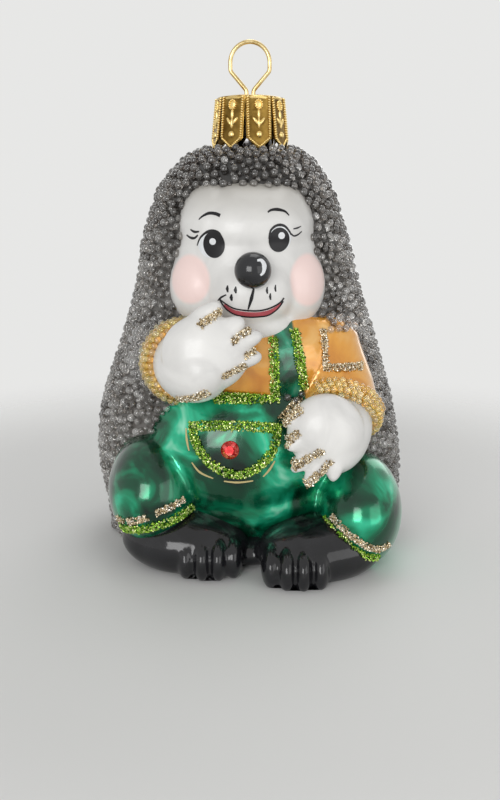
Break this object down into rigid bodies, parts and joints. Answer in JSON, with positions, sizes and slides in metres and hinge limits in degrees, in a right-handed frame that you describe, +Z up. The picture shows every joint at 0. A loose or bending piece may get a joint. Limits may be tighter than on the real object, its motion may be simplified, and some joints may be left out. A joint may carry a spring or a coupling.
{
  "type": "hanging glass hedgehog ornament",
  "caption": "Hollow blown-glass hedgehog sitting with a hand at its mouth, bead-coated back, glitter-trimmed dungarees, gilt crown cap and wire hanging loop.",
  "frame": {"origin": "middle of the flat resting base, under the neck", "axes": "+Z up along the neck, the figure faces -Y, +X to the right of someone looking at its face"},
  "size_m": [0.0774, 0.0721, 0.119],
  "materials": {
    "pearl_lacquer": "glossy pearl white lacquer on silvered blown glass",
    "green_lacquer": "glossy see-through green lacquer over silvered glass",
    "orange_lacquer": "glossy see-through orange lacquer over silvered glass",
    "black_lacquer": "glossy black lacquer on glass",
    "clear_beads": "clear round glass beads glued over dark grey lacquer",
    "amber_beads": "amber round glass beads",
    "green_glitter": "coarse lime green glass glitter in glue",
    "champagne_glitter": "coarse champagne gold glass glitter in glue",
    "red_crystal": "faceted foiled red crystal",
    "gilt_metal": "stamped gilt tinplate",
    "gilt_wire": "drawn spring wire"
  },
  "bodies": {
    "figure": {"glass_figure": "pearl_lacquer", "spine_bead_coat": "clear_beads", "right_cuff_beads": "amber_beads", "left_cuff_beads": "amber_beads", "pocket_gem": "red_crystal", "pocket_edge_glitter": "green_glitter", "pocket_stitch_glitter": "champagne_glitter", "bib_edge_glitter": "green_glitter", "strap_edge_glitter": "green_glitter", "right_hem_glitter": "green_glitter", "left_hem_glitter": "green_glitter", "right_hem_stitch": "champagne_glitter", "left_hem_stitch": "champagne_glitter", "sleeve_seam_glitter": "champagne_glitter", "right_hand_glitter": "champagne_glitter", "left_hand_glitter": "champagne_glitter", "right_cuff_glitter": "champagne_glitter", "left_wrist_glitter": "champagne_glitter"},
    "hanger": {"hanger_wire": "gilt_wire"},
    "cap": {"crown_cap": "gilt_metal"}
  },
  "joints": [
    {"name": "hanger_pull", "type": "slide", "parent": "figure", "child": "hanger", "axis": [0, 0, 1], "range_m": [0, 0.03]},
    {"name": "cap_turn", "type": "hinge", "parent": "hanger", "child": "cap", "pos_m": [0, 0, 0.106], "axis": [0, 0, 1], "continuous": true}
  ]
}
